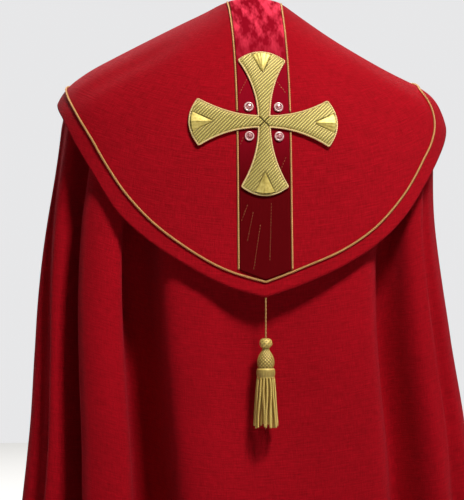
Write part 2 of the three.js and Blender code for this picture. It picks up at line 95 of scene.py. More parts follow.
# Drop: how far the right shoulder hangs below the left. Aside: how far the cloak sways to the left.
LEAN = {
    "reach": [0, 60, 120, 180, 225, 260, 330, 430, 520, 620, 760, 1420],
    "drop": [2, 11, 14, 13, 7, 2, 0, 0, 0, 0, 0, 0],
    "aside": [0, 0, 0, 0, 0, 0, 2, 10, 11, 7, 0, 0],
}

# One row for each crest and trough of the cloak, from the right front edge round the back:
# its bearing under the hood, at the knee and at the hem, how far it stands out just below the hood,
# at the knee and at the hem, and how steep the flank is to the next row (0 soft, 1 upright, more
# where it overhangs).
FOLD_COLUMNS = ("high", "low", "hem", "upper", "out", "flare", "roll")
FOLDS = [
    (-171, -171, -171, 0, 0, 4, 0.3),       # right front edge
    (-160, -161, -160, -10, -24, -30, 0.7),
    (-150, -151, -149, 0, 6, 16, 0.9),
    (-139, -139, -138, -20, -44, -58, 1),
    (-128, -127, -125, 2, 10, 26, 0.9),
    (-117, -115, -114, -22, -50, -60, 1),
    (-106, -103, -102, 0, 6, 24, 0.8),
    (-94, -90, -89, -20, -40, -48, 0.9),      # under the right arm
    (-74, -71, -72, -12, -2, 22, 0.6),
    (-64, -58, -57, -16, -16, -22, 0.8),
    (-54, -50, -49, -4, 0, 20, 1.1),         # right ridge
    (-44, -42, -41, -38, -78, -96, 0.4),
    (-29, -24.5, -24, 0, 3, 22, 0.2),       # right edge of the back panel
    (0, -2, -3, -6, -14, -8, 0.2),           # middle of the back
    (20, 15, 14, 0, 0, 20, 0.35),           # left edge of the back panel
    (34, 28.5, 28, -48, -96, -118, 2.6),
    (46, 37, 36, 2, 14, 32, 1.4),           # big left ridge
    (63, 56.5, 55, -38, -74, -92, 1.1),
    (71, 63, 62, -2, -4, 18, 0.5),
    (77, 69, 69, -8, -16, -20, 0.6),
    (87, 81, 80, -4, 2, 22, 0.8),
    (97, 93, 92, -20, -44, -56, 1),           # under the left arm
    (107, 105, 104, 0, 6, 26, 0.9),
    (119, 118, 116, -22, -52, -64, 1),
    (131, 130, 129, 2, 12, 28, 0.9),
    (142, 142, 141, -18, -40, -52, 0.9),
    (152, 153, 152, 0, 6, 18, 0.8),
    (162, 162, 162, -10, -22, -28, 0.4),
    (171, 171, 171, 0, 0, 4, 0),            # left front edge
]
FOLD = dict(zip(FOLD_COLUMNS, np.array(FOLDS, float).T))
EDGE_BEARING = 171
FIXED_BEARING = 100
FOLD_REACH = {"start": 120, "upper": 330, "knee": 620}
BEARING_REACH = (400, 800)
SHALLOW_ROLL = 0.6                                # the steepest flank where folds have no depth

# The hood's edge and the gold cord just inside it, by bearing, on the wearer's left and right.
HOOD_EDGE = {
    "bearing": [0, 10, 20, 30, 40, 50, 60, 70, 80, 90, 110, 130, 150, 171],
    "edge_left": [468, 453, 430, 407, 379, 337, 305, 283, 271, 261, 239, 208, 166, 126],
    "edge_right": [468, 450, 432, 412, 386, 353, 326, 306, 290, 276, 251, 214, 168, 126],
    "cord_left": [446, 430, 405, 376, 339, 297, 272, 256, 245, 237, 216, 185, 143, 103],
    "cord_right": [446, 426, 409, 386, 354, 317, 284, 228, 214, 206, 196, 176, 143, 103],
}

# How far the cloth stands from the body's axis, to turn a bearing into a length.
PLAN_RADIUS = {"reach": [0, 220, 460, 1420], "radius": [60, 200, 230, 300]}

# Soft troughs and ridges laid on the cloth. One row each: from bearing, from reach, to
# bearing, to reach, how wide, and how far out or in.
CLOAK_CREASES = [
    (-14, 520, -11, 1300, 26, -3.5),
    (6, 640, 8, 1420, 34, 4),
    (12, 420, 13, 900, 16, 3),
    (-20, 560, -19, 1420, 18, -4),
    (-30, 430, -28, 1100, 12, 4),
    (-44, 380, -43, 1250, 11, -5),
    (-55, 300, -54, 1100, 6, 4.5),
    (-66, 330, -63, 900, 9, -4),
    (-82, 300, -78, 1300, 14, 5),
    (39, 420, 33, 1200, 16, -3.5),
    (42, 560, 38.5, 1420, 9, 3.5),
    (62, 480, 56, 1300, 9, -4),
    (76, 320, 72, 900, 10, 4),
    (90, 280, 86, 1100, 14, -5),
    (-110, 300, -106, 1200, 16, 5),
    (-133, 260, -129, 1420, 18, -5),
    (-147, 300, -150, 800, 12, 4),
    (112, 280, 108, 1000, 14, -5),
    (126, 320, 130, 1300, 17, 5),
    (147, 300, 149, 1100, 13, -4),
]
HOOD_CREASES = [
    (44, 352, 20, 165, 17, -2.6),
    (30, 330, 14, 240, 22, 1.8),
    (-46, 300, -30, 130, 30, -2.2),
    (-62, 280, -52, 120, 20, 2),
    (66, 250, 50, 110, 18, -2.2),
    (-26, 400, -20, 300, 24, 1.6),
    (120, 200, 112, 60, 16, 2),
    (-120, 200, -112, 60, 18, -2),
]

# Lines of small stitches on the velvet: sideways and reach, from and to.
STITCH_LINES = [
    (21, 153, 34, 180), (-19, 156, -33, 177), (30, 242, 34, 252), (-30, 270, -21, 290),
    (25, 338, 34, 362), (17, 348, 25, 388), (7, 366, 17, 430), (-9, 335, -6, 415),
]
STITCH = {"pitch": 4.4, "length": 2.0, "radius": 0.22}

# The tassel from the top down: [radius, depth] pairs down each piece.
KNOB = [(3.4, 0), (6.2, 1.6), (7.6, 3.8), (8.3, 7), (7.7, 10), (5.8, 12.4), (3.8, 14)]
BULB = [(4.2, 0), (4.8, 3), (7.4, 7), (10.1, 12), (11.5, 17), (11.6, 21), (10.8, 24.6), (9.8, 27)]
COLLAR = [(10.2, 0), (12.3, 2.4), (13, 6), (12.9, 9.6), (11.8, 14)]
SKIRT = {"length": 71, "top": 11.4, "bottom": 16.4, "outer": 16, "inner": 9, "strand": 1.75}


def tint(red, green, blue):
    """A linear colour from display values, 0 to 255."""
    display = np.array([red, green, blue]) / 255
    linear = np.where(display <= 0.04045, display / 12.92, ((display + 0.055) / 1.055) ** 2.4)
    return tuple(float(value) for value in linear)


# ------------------------------------------------------------------------------ the form of cloth

def ease(at, start, end):
    share = np.clip((at - start) / (end - start), 0, 1)
    return share * share * (3 - 2 * share)


def mix(a, b, share):
    return a + (b - a) * share


def straight(table, key, column, at):
    """The value of a column at a place along the key, straight between the rows."""
    return np.interp(at, table[key], table[column])


def curved(table, key, column, at):
    """The same, on a smooth curve through the rows, with a free slope at both ends."""
    keys, values = np.array(table[key], float), np.array(table[column], float)
    at = np.asarray(at, float)
    row = np.clip(np.searchsorted(keys, at, side="left") - 1, 0, len(keys) - 2)
    before, after = np.maximum(row - 1, 0), np.minimum(row + 2, len(keys) - 1)
    span = keys[row + 1] - keys[row]
    share = np.clip((at - keys[row]) / span, 0, 1)
    out = (values[row + 1] - values[before]) / (keys[row + 1] - keys[before]) * span
    into = (values[after] - values[row]) / (keys[after] - keys[row]) * span
    s2, s3 = share ** 2, share ** 3
    return ((2 * s3 - 3 * s2 + 1) * values[row] + (s3 - 2 * s2 + share) * out
            + (3 * s2 - 2 * s3) * values[row + 1] + (s3 - s2) * into)


class DrapeLine:
    """How far out and how high the cloth is, by reach, down one line of the drape."""

    def __init__(self, column, out, height, step=5):
        self.reach = np.arange(0, BODY["reach"] + step, step, dtype=float)
        slope = np.radians(straight(DRAPE, "reach", column, self.reach[:-1] + step / 2))
        self.outs = out + np.concatenate([[0], np.cumsum(step * np.cos(slope))])
        self.heights = height - np.concatenate([[0], np.cumsum(step * np.sin(slope))])

    def out(self, reach):
        return np.interp(reach, self.reach, self.outs)

    def height(self, reach):
        return np.interp(reach, self.reach, self.heights)


BACK_LINE = DrapeLine("back", NECK["back"], NECK["height_back"])
SIDE_LINE = DrapeLine("side", NECK["side"], NECK["height_side"])
FRONT_LINE = DrapeLine("front", NECK["front"], NECK["height_front"])


def form_point(bearing, reach):
    """A point of the smooth form that all the cloth follows, before its folds."""
    bearing, reach = np.broadcast_arrays(np.asarray(bearing, float), np.asarray(reach, float))
    sine, cosine = np.sin(np.radians(bearing)), np.cos(np.radians(bearing))
    behind = cosine > 0
    depth = np.where(behind, BACK_LINE.out(reach), FRONT_LINE.out(reach))
    middle = np.where(behind, BACK_LINE.height(reach), FRONT_LINE.height(reach))
    square = straight(PLAN, "reach", "square", reach)
    x = SIDE_LINE.out(reach) * sine * (1 + square * cosine ** 2)
    y = depth * cosine * (1 + square * sine ** 2)
    drop = curved(LEAN, "reach", "drop", reach) * np.maximum(-sine, 0) ** 1.5
    z = mix(SIDE_LINE.height(reach), middle, cosine ** 2) - drop
    return np.stack([x, y, z], -1)


def unit(vectors):
    return vectors / np.maximum(np.linalg.norm(vectors, axis=-1, keepdims=True), 1e-12)


def outward(point, across, down, step_across, step_down):
    """The outward direction of a surface given as point(across, down)."""
    along = point(across + step_across, down) - point(across - step_across, down)
    below = point(across, down + step_down) - point(across, np.maximum(down - step_down, 0))
    return unit(np.cross(along, below))


def form_outward(bearing, reach):
    return outward(form_point, np.asarray(bearing, float), np.asarray(reach, float), 0.2, 2)


def fitted(bearing, reach):
    """Moves a bearing of the tables so that the front edges keep the opening's width."""
    gap = straight(PLAN, "reach", "gap", reach)
    edge = 180 - np.degrees(np.arcsin(gap / SIDE_LINE.out(reach)))
    size = np.abs(bearing)
    share = (size - FIXED_BEARING) / (EDGE_BEARING - FIXED_BEARING)
    return np.where(size <= FIXED_BEARING, bearing,
                    np.sign(bearing) * mix(FIXED_BEARING, edge, share))


def creased(creases, bearing, reach):
    """How far the listed creases move the cloth out."""
    total = np.zeros(np.broadcast(bearing, reach).shape)
    for from_bearing, from_reach, to_bearing, to_reach, width, out in creases:
        share = np.clip((reach - from_reach) / (to_reach - from_reach), -0.3, 1.3)
        middle = mix(from_bearing, to_bearing, share)
        arc = np.radians(bearing - middle) * straight(PLAN_RADIUS, "reach", "radius", reach)
        inside = ease(share, -0.25, 0.25) * (1 - ease(share, 0.75, 1.25))
        total = total + out * np.exp(-(arc / width) ** 2) * inside
    return total


def fold_bearing(row, reach):
    """A crest's or trough's bearing at a reach."""
    start, end = BEARING_REACH
    upper = mix(FOLD["high"][row], FOLD["low"][row], np.clip((reach - start) / (end - start), 0, 1))
    share = np.clip((reach - end) / (BODY["reach"] - end), 0, 1)
    return fitted(mix(upper, FOLD["hem"][row], share), reach)


def fold_out(row, reach):
    """How far a crest or trough stands out from the form at a reach."""
    start, upper, knee = FOLD_REACH["start"], FOLD_REACH["upper"], FOLD_REACH["knee"]
    high = ease(reach, start, upper) * FOLD["upper"][row]
    low = mix(high, FOLD["out"][row], ease(reach, upper, knee))
    return mix(low, FOLD["flare"][row], np.clip((reach - knee) / (BODY["reach"] - knee), 0, 1))


def fold_roll(row, reach):
    """How steep a flank is at a reach: it grows steep with the depth of its fold."""
    shallow = np.minimum(FOLD["roll"][row], SHALLOW_ROLL)
    return mix(shallow, FOLD["roll"][row], ease(reach, FOLD_REACH["start"], FOLD_REACH["upper"]))


def cloak_point(place, reach):
    """A point on the cloak's outer face. place counts along the rows of FOLDS."""
    place, reach = np.broadcast_arrays(np.asarray(place, float), np.asarray(reach, float))
    row = np.clip(np.floor(place).astype(int), 0, len(FOLDS) - 2)
    share = place - row
    along = share + fold_roll(row, reach) * np.sin(2 * np.pi * share) / (2 * np.pi)
    bearing = mix(fold_bearing(row, reach), fold_bearing(row + 1, reach), along)
    out = mix(fold_out(row, reach), fold_out(row + 1, reach), (1 - np.cos(np.pi * share)) / 2)
    out = out + creased(CLOAK_CREASES, bearing, reach)
    point = form_point(bearing, reach) + form_outward(bearing, reach) * out[..., None]
    point[..., 0] += curved(LEAN, "reach", "aside", reach)
    return point


def hood_surface(bearing, reach, lift=0.0):
    """The hood's outer face, lifted from it."""
    stand = HOOD["lift_neck"] + HOOD["lift_gain"] * (reach / HOOD["lift_reach"]) ** 1.5
    stand = stand + creased(HOOD_CREASES, bearing, reach) + lift
    turned = fitted(bearing, reach)
    return form_point(turned, reach) + form_outward(turned, reach) * stand[..., None]


def hood_reach(bearing, what):
    """The reach of the hood's edge, or of its cord, at a bearing."""
    size = np.abs(bearing)
    return np.where(bearing < 0, curved(HOOD_EDGE, "bearing", what + "_right", size),
                    curved(HOOD_EDGE, "bearing", what + "_left", size))


def on_hood(sideways, reach, lift=0.0):
    """A place on the hood's back, by distance sideways from its middle line."""
    sideways, reach = np.broadcast_arrays(np.asarray(sideways, float), np.asarray(reach, float))
    square = straight(PLAN, "reach", "square", reach)
    bearing = np.zeros(reach.shape)
    for _ in range(4):
        grown = 1 + square * np.cos(np.radians(bearing)) ** 2
        bearing = np.degrees(np.arcsin(sideways / (SIDE_LINE.out(reach) * grown)))
    return hood_surface(bearing, reach, lift)


# --------------------------------------------------------------------------------- making meshes

def grid_outward(grid):
    """The outward direction at each point of a grid of rows down and columns across."""
    return unit(np.cross(np.gradient(grid, axis=1), np.gradient(grid, axis=0)))


def wall(outer, inner):
    """Points and faces of a wall between two grids, closed round its rim."""
    deep, wide = outer.shape[:2]
    index = np.arange(deep * wide).reshape(deep, wide)
    a, b, c, d = index[:-1, :-1], index[:-1, 1:], index[1:, 1:], index[1:, :-1]
    front = np.stack([a, b, c, d], -1).reshape(-1, 4)
    back = front[:, ::-1] + deep * wide
    loop = np.concatenate([index[0, :], index[1:, -1], index[-1, -2::-1], index[-2:0:-1, 0]])
    ahead = np.roll(loop, -1)
    rim = np.stack([ahead, loop, loop + deep * wide, ahead + deep * wide], -1)
    points = np.concatenate([outer.reshape(-1, 3), inner.reshape(-1, 3)])
    return points, np.concatenate([front, back, rim]).tolist()


def joined(parts):
    """Several (points, faces) pairs as one."""
    points, faces, start = [], [], 0
    for part_points, part_faces in parts:
        points.append(np.asarray(part_points))
        faces.extend([[start + corner for corner in face] for face in part_faces])
        start += len(part_points)
    return np.concatenate(points), faces


def evenly(points, step):
    """The same path with points a step apart."""
    length = np.concatenate([[0], np.cumsum(np.linalg.norm(np.diff(points, axis=0), axis=1))])
    places = np.linspace(0, length[-1], max(int(round(length[-1] / step)), 2) + 1)
    return np.stack([np.interp(places, length, points[:, axis]) for axis in range(3)], -1)


def carried_frame(path):
    """Two directions square to a path, carried along it without twisting."""
    ahead = unit(np.gradient(path, axis=0))
    guide = np.array([0, 0, 1.0]) if abs(ahead[0][2]) < 0.9 else np.array([1.0, 0, 0])
    side = np.empty_like(path)
    current = guide
    for row, direction in enumerate(ahead):
        current = current - direction * (current @ direction)
        current = current / np.linalg.norm(current)
        side[row] = current
    return side, np.cross(ahead, side)


def tube(path, radius, sides=6, frame_of=None):
    """Points and faces of a round tube along a path, with closed ends."""
    side, up = frame_of or carried_frame(path)
    angles = np.arange(sides) * 2 * np.pi / sides
    radius = np.broadcast_to(radius, len(path))[:, None, None]
    ring = side[:, None] * np.cos(angles)[None, :, None] + up[:, None] * np.sin(angles)[None, :, None]
    points = (path[:, None] + ring * radius).reshape(-1, 3)
    index = np.arange(len(points)).reshape(len(path), sides)
    turned = np.roll(index, -1, axis=1)
    faces = np.stack([index[:-1], turned[:-1], turned[1:], index[1:]], -1).reshape(-1, 4).tolist()
    return points, faces + [index[0][::-1].tolist(), index[-1].tolist()]


def twisted(points, radius, pitch, step, strands=2, sides=6, start=0.0):
    """Points and faces of a cord of strands twisted round each other along a path."""
    path = evenly(np.asarray(points, float), step)
    side, up = carried_frame(path)
    length = np.arange(len(path)) * step
    parts = []
    for strand in range(strands):
        angle = start + 2 * np.pi * (strand / strands + length / pitch)
        offset = side * np.cos(angle)[:, None] + up * np.sin(angle)[:, None]
        parts.append(tube(path + offset * radius * 0.46, radius * 0.56, sides))
    return joined(parts)


def lathed(profile, sides, steps, pattern):
    """Points and faces of a turned solid, and its relief. profile is [radius, depth] pairs."""
    radii, depths = np.array(profile, float).T
    length = np.concatenate([[0], np.cumsum(np.hypot(np.diff(radii), np.diff(depths)))])
    places = np.linspace(0, length[-1], steps + 1)
    radius = np.interp(places, length, radii)
    radius = np.convolve(np.pad(radius, 2, mode="edge"), np.ones(5) / 5, mode="valid")
    depth = np.interp(places, length, depths)
    angle = np.arange(sides) * 2 * np.pi / sides
    rise = pattern(angle[None, :], places[:, None])
    reach = radius[:, None] + rise
    ring = np.stack([reach * np.cos(angle), reach * np.sin(angle),
                     np.broadcast_to(-depth[:, None], (steps + 1, sides))], -1)
    index = np.arange(ring.shape[0] * sides).reshape(ring.shape[0], sides)
    turned = np.roll(index, -1, axis=1)
    faces = np.stack([index[:-1], index[1:], turned[1:], turned[:-1]], -1).reshape(-1, 4).tolist()
    height = np.broadcast_to(rise / np.max(rise), reach.shape)
    relief = np.stack([height, 0 * height, 0 * height], -1).reshape(-1, 3)
    return (ring.reshape(-1, 3), faces + [index[0].tolist(), index[-1][::-1].tolist()]), relief


def ball(centre, radius, sides=8, rings=5):
    """Points and faces of a small bead."""
    rows = [(radius * np.sin(np.pi * ring / rings), -radius * np.cos(np.pi * ring / rings))
            for ring in range(1, rings)]
    angle = np.arange(sides) * 2 * np.pi / sides
    points = [[wide * np.cos(turn), wide * np.sin(turn), rise] for wide, rise in rows for turn in angle]
    index = np.arange(len(points)).reshape(rings - 1, sides)
    turned = np.roll(index, -1, axis=1)
    faces = np.stack([index[:-1], turned[:-1], turned[1:], index[1:]], -1).reshape(-1, 4).tolist()
    faces += [index[0][::-1].tolist(), index[-1].tolist()]
    return np.array(points) + centre, faces


def make_piece(name, part, material, nodes=(), cloth=None, smooth=True):
    """A mesh piece, in metres, that rides on the frame and stands for its CAD nodes."""
    points, faces = part
    mesh = bpy.data.meshes.new(name)
    mesh.from_pydata((np.asarray(points) * MM).tolist(), [], faces)
    mesh.polygons.foreach_set("use_smooth", [smooth] * len(mesh.polygons))
    if cloth is not None:
        layer = mesh.attributes.new("cloth", "FLOAT_VECTOR", "POINT")
        layer.data.foreach_set("vector", np.asarray(cloth, np.float32).ravel())
    mesh.materials.append(material)
    mesh.validate()
    piece = bpy.data.objects.new(name, mesh)
    bpy.context.collection.objects.link(piece)
    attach(piece, "root")
    if nodes:
        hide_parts(*nodes)
    return piece


def cloth_places(across, reach):
    """The cloth attribute of a wall: metres across, metres of reach, for both of its faces."""
    across, reach = np.broadcast_arrays(across, reach)
    places = np.stack([across, reach, np.zeros(reach.shape)], -1).reshape(-1, 3) * MM
    return np.concatenate([places, places])


# The height it gives also sets the painted shade in the grooves of gilt thread.
def relief_places(relief):
    """The cloth attribute of stitched work: how high its threads stand, 0 in a groove to 1 on top."""
    places = np.stack([relief, np.zeros(relief.shape), np.zeros(relief.shape)], -1).reshape(-1, 3)
    return np.concatenate([places, places])


def across_of(grid):
    """How far across the cloth each point of a grid is, from its middle column."""
    steps = np.linalg.norm(np.diff(grid, axis=1), axis=-1).mean(axis=0)
    places = np.concatenate([[0], np.cumsum(steps)])
    return (places - places[len(places) // 2])[None, :]


# ------------------------------------------------------------------------------------- materials

class Wire:
    """A shader socket that Python expressions can work with."""

    def __init__(self, finish, socket):
        self.finish = finish
        self.socket = socket

    def worked(self, operation, first, second=0.0):
        return self.finish.node("ShaderNodeMath", {"operation": operation}, {0: first, 1: second})

    def __add__(self, other):
        return self.worked("ADD", self, other)

    def __radd__(self, other):
        return self.worked("ADD", other, self)

    def __sub__(self, other):
        return self.worked("SUBTRACT", self, other)

    def __rsub__(self, other):
        return self.worked("SUBTRACT", other, self)

    def __mul__(self, other):
        return self.worked("MULTIPLY", self, other)

    def __rmul__(self, other):
        return self.worked("MULTIPLY", other, self)

    def __truediv__(self, other):
        return self.worked("DIVIDE", self, other)

    def __pow__(self, other):
        return self.worked("POWER", self, other)

    def sine(self):
        return self.worked("SINE", self)

    def limited(self):
        """Kept from 0 to 1."""
        return self.finish.node("ShaderNodeClamp", {}, {"Value": self, "Min": 0.0, "Max": 1.0})


class Finish:
    """A material, and the one way that its nodes are made."""

    def __init__(self, name, **constants):
        self.material = bpy.data.materials.new(name)
        self.material.use_nodes = True
        self.tree = self.material.node_tree
        self.shader = self.tree.nodes["Principled BSDF"]
        for socket, value in constants.items():
            self.shader.inputs[socket.replace("_", " ")].default_value = value

    def node(self, kind, settings, values, output=0):
        made = self.tree.nodes.new(kind)
        for name, value in settings.items():
            setattr(made, name, value)
        for name, value in values.items():
            self.put(made.inputs[name], value)
        return Wire(self, made.outputs[output])

    def put(self, socket, value):
        if isinstance(value, Wire):
            self.tree.links.new(value.socket, socket)
        else:
            socket.default_value = value

    def feed(self, **values):
        for socket, value in values.items():
            self.put(self.shader.inputs[socket.replace("_", " ")], value)
        return self.material

    def place(self, attribute=None):
        """Where a point is: on the cloth, or in the object's own space."""
        if attribute:
            return self.node("ShaderNodeAttribute", {"attribute_name": attribute}, {}, "Vector")
        return self.node("ShaderNodeTexCoord", {}, {}, "Object")

    def stretched(self, place, scale):
        return self.node("ShaderNodeVectorMath", {"operation": "MULTIPLY"}, {0: place, 1: scale})

    def noise(self, place, scale, detail=2.0, roughness=0.5):
        return self.node("ShaderNodeTexNoise", {}, {
            "Vector": place, "Scale": scale, "Detail": detail, "Roughness": roughness}, "Fac")

    def part_of(self, place, axis):
        return self.node("ShaderNodeSeparateXYZ", {}, {"Vector": place}, axis)

    def blend(self, share, first, second):
        whole = [tuple(c) + (1.0,) if isinstance(c, (tuple, list)) else c for c in (first, second)]
        return self.node("ShaderNodeMix", {"data_type": "RGBA"}, {0: share, 6: whole[0], 7: whole[1]}, 2)

    def bump(self, height, strength, distance):
        return self.node("ShaderNodeBump", {}, {
            "Height": height, "Strength": strength, "Distance": distance})


def colour_of(name):
    return tuple(getattr(bpy.context.scene.cope_colours, name))


def ready_material(name, make):
    """The material of this name, made the first time that it is asked for."""
    return bpy.data.materials.get(name) or make(name)


def red_wool(name):
    """Plain woven wool: fine threads both ways, slubs, and a soft pink sheen."""
    finish = Finish(name, Sheen_Weight=0.12, Sheen_Roughness=0.35,
                    Sheen_Tint=(*colour_of("sheen"), 1.0), Specular_IOR_Level=0.1)
    place = finish.place("cloth")
    weft = finish.noise(finish.stretched(place, (70, 640, 1)), 1.0, 3.0, 0.6)
    warp = finish.noise(finish.stretched(place, (640, 70, 1)), 1.0, 3.0, 0.6)
    slub = finish.noise(finish.stretched(place, (26, 420, 1)), 1.0, 2.0)
    cloudy = finish.noise(place, 7.0, 3.0)
    threads = (weft + warp) * 0.5
    tone = (threads * 2.6 + slub * 0.7 + cloudy * 0.5 - 1.4).limited()
    across, reach = finish.part_of(place, "X"), finish.part_of(place, "Y")
    weave = (across * 3900.0).sine() * (reach * 3900.0).sine()
    height = threads + slub * 0.8 + weave * 0.35
    return finish.feed(
        Base_Color=finish.blend(tone, colour_of("red_low"), colour_of("red_high")),
        Roughness=0.95 - threads * 0.2,
        Normal=finish.bump(height, 0.8, 0.0009))


def crushed_velvet(name):
    """Dark crushed velvet, with a painted sheen of blotchy bright pink near the neck and painted shade that
    darkens it below the cross.
    """
    finish = Finish(name, Sheen_Weight=0.02, Sheen_Roughness=0.3,
                    Sheen_Tint=(*colour_of("velvet_painted_sheen"), 1.0), Specular_IOR_Level=0.04)
    place = finish.place("cloth")
    reach = finish.part_of(place, "Y")
    # Painted sheen: bright pink painted into the colour near the neck, broken into blotches and streaks; it
    # also lowers the roughness there.
    bright = ((0.135 - reach) * 14.0).limited()
    crush = finish.noise(finish.stretched(place, (60, 24, 1)), 1.0, 3.0, 0.65)
    sheen_blotch = ((crush - 0.44) * 6.0).limited()
    streak = finish.noise(finish.stretched(place, (420, 60, 1)), 1.0, 2.0)
    # Painted shade: the velvet goes darker down the strip, from behind the cross to below it.
    middle = ((0.3 - reach) * 12.0).limited()
    dark = finish.blend(middle, colour_of("velvet_shaded_low"), colour_of("velvet_dark"))
    painted_sheen = (bright * sheen_blotch * (streak * 0.7 + 0.6)).limited()
    return finish.feed(
        Base_Color=finish.blend(painted_sheen, dark, colour_of("velvet_painted_sheen")),
        Roughness=0.8 - painted_sheen * 0.25,
        Normal=finish.bump(crush + streak * 0.3, 0.5, 0.0012))


def metal_thread(name, dark, light, metallic, roughness, scale=900.0, groove=None):
    """Gilt thread: short bright and dull stretches, finely ribbed, and painted shade that darkens it down in
    its grooves.
    """
    finish = Finish(name, Metallic=metallic, Specular_IOR_Level=0.5)
    place = finish.place()
    fine = finish.noise(place, scale, 2.0, 0.6)
    broad = finish.noise(place, scale * 0.12, 2.0)
    tone = (fine * 1.3 + broad * 0.3 - 0.3).limited()
    # Painted shade: the colour goes toward the groove colour where the threads lie low.
    if groove:
        relief = finish.part_of(finish.place("cloth"), "X")
        dark = finish.blend(relief, groove, dark)
        light = finish.blend(relief, groove, light)
    return finish.feed(
        Base_Color=finish.blend(tone, dark, light),
        Roughness=roughness + fine * 0.2,
        Normal=finish.bump(fine, 0.35, 0.0004))


def gold_thread(name):
    # The last colour is painted shade, for the grooves between the couched threads of the cross.
    return metal_thread(name, tint(160, 134, 52), tint(246, 226, 134), 0.35, 0.34,
                        groove=tint(48, 34, 8))


def outline_thread(name):
    return metal_thread(name, tint(222, 182, 112), tint(255, 236, 176), 0.3, 0.3)


def tassel_thread(name):
    # The last colour is painted shade, for the grooves of the tassel's threads.
    return metal_thread(name, tint(206, 160, 60), tint(255, 234, 140), 0.2, 0.36, 1200.0,
                        groove=tint(84, 54, 12))


def copper_cord(name):
    return metal_thread(name, tint(160, 96, 48), tint(240, 190, 120), 0.4, 0.35, 1100.0)


def shiny_gold(name):
    return metal_thread(name, tint(176, 146, 52), tint(240, 222, 132), 0.45, 0.4, 260.0)


def plain_brass(name):
    return metal_thread(name, tint(150, 118, 62), tint(196, 164, 98), 0.95, 0.25, 300.0)


def glassy(name, dark, light):
    """Pink glass with brighter and darker places."""
    finish = Finish(name, Specular_IOR_Level=0.8, IOR=1.6)
    cloudy = finish.noise(finish.place(), 420.0, 1.0)
    return finish.feed(
        Base_Color=finish.blend(((cloudy - 0.35) * 3.0).limited(), dark, light),
        Roughness=0.15 + cloudy * 0.1, Metallic=0.1, Coat_Weight=0.4)


def crystal(name):
    return glassy(name, tint(140, 52, 56), tint(226, 166, 164))


def pale_mount(name):
    return glassy(name, tint(226, 160, 160), tint(255, 222, 216))


# ------------------------------------------------------------------------------- the user's sizes

class CopeSizes(bpy.types.PropertyGroup):
    cloth_wall: bpy.props.FloatProperty(
        name="Cloak cloth", description="Thickness of the cloak's cloth, in millimetres",
        default=2.2, min=1.0, max=3.0)
    hood_wall: bpy.props.FloatProperty(
        name="Hood cloth", description="Thickness of the hood's cloth, in millimetres",
        default=3.0, min=1.0, max=3.0)
    cord_radius: bpy.props.FloatProperty(
        name="Cord radius", description="Radius of the sewn gold cords, in millimetres",
        default=1.6, min=1.0, max=2.0)
    cord_pitch: bpy.props.FloatProperty(
        name="Cord twist", description="Length of one twist of the cords, in millimetres",
        default=6.5, min=4.0, max=12.0)


class CopeColours(bpy.types.PropertyGroup):
    red_low: bpy.props.FloatVectorProperty(
        name="Red, low threads", description="Colour between the threads of the wool",
        subtype="COLOR", default=tint(140, 2, 13), min=0, max=1)
    red_high: bpy.props.FloatVectorProperty(
        name="Red, high threads", description="Colour on top of the threads of the wool",
        subtype="COLOR", default=tint(190, 5, 27), min=0, max=1)
    sheen: bpy.props.FloatVectorProperty(
        name="Sheen", description="Colour of the wool at grazing angles",
        subtype="COLOR", default=tint(236, 92, 112), min=0, max=1)
    # Painted shade: the darker colour painted on the velvet below the cross.
    velvet_shaded_low: bpy.props.FloatVectorProperty(
        name="Velvet, low down", description="Colour of the velvet below the cross",
        subtype="COLOR", default=tint(92, 1, 6), min=0, max=1)
    velvet_dark: bpy.props.FloatVectorProperty(
        name="Velvet, dark", description="Colour of the velvet behind the cross",
        subtype="COLOR", default=tint(136, 3, 24), min=0, max=1)
    # Painted sheen: the bright pink painted on the velvet near the neck, also the tint of its shader sheen.
    velvet_painted_sheen: bpy.props.FloatVectorProperty(
        name="Velvet, bright", description="Colour of the crushed pile near the neck",
        subtype="COLOR", default=tint(228, 54, 78), min=0, max=1)


# ------------------------------------------------------------------------------------- the pieces

class COPE_OT_cloak(bpy.types.Operator):
    """Make the cloak: one sheet of cloth from front edge to front edge"""
    bl_idname = "cope.cloak"
    bl_label = "Cloak"

    def execute(self, context):
        places = np.linspace(0, len(FOLDS) - 1, (len(FOLDS) - 1) * BODY["per_fold"] + 1)[None, :]
        reach = np.linspace(0, BODY["reach"], BODY["rows"] + 1)[:, None]
        outer = cloak_point(places, reach)
        inner = outer - grid_outward(outer) * context.scene.cope_sizes.cloth_wall
        cloak = make_piece("cope_body_cloth", wall(outer, inner), ready_material("Red_wool", red_wool),
                           ["cope_body"], cloth_places(across_of(outer), reach))
        return {"FINISHED"}


class COPE_OT_hood(bpy.types.Operator):
    """Make the hood: a pointed panel over the back and shoulders"""
    bl_idname = "cope.hood"
    bl_label = "Hood"

    def execute(self, context):
        half = np.linspace(0, 1, HOOD_GRID["columns"] // 2 + 1) * HOOD["front_bearing"]
        bearing = np.concatenate([-half[:0:-1], half])[None, :]
        reach = np.linspace(0, 1, HOOD_GRID["rows"] + 1)[:, None] * hood_reach(bearing, "edge")
        outer = hood_surface(bearing, reach)
        inner = outer - grid_outward(outer) * context.scene.cope_sizes.hood_wall
        hood = make_piece("hood_cloth", wall(outer, inner), ready_material("Red_wool", red_wool),
                          ["hood"], cloth_places(across_of(outer), reach))
        return {"FINISHED"}


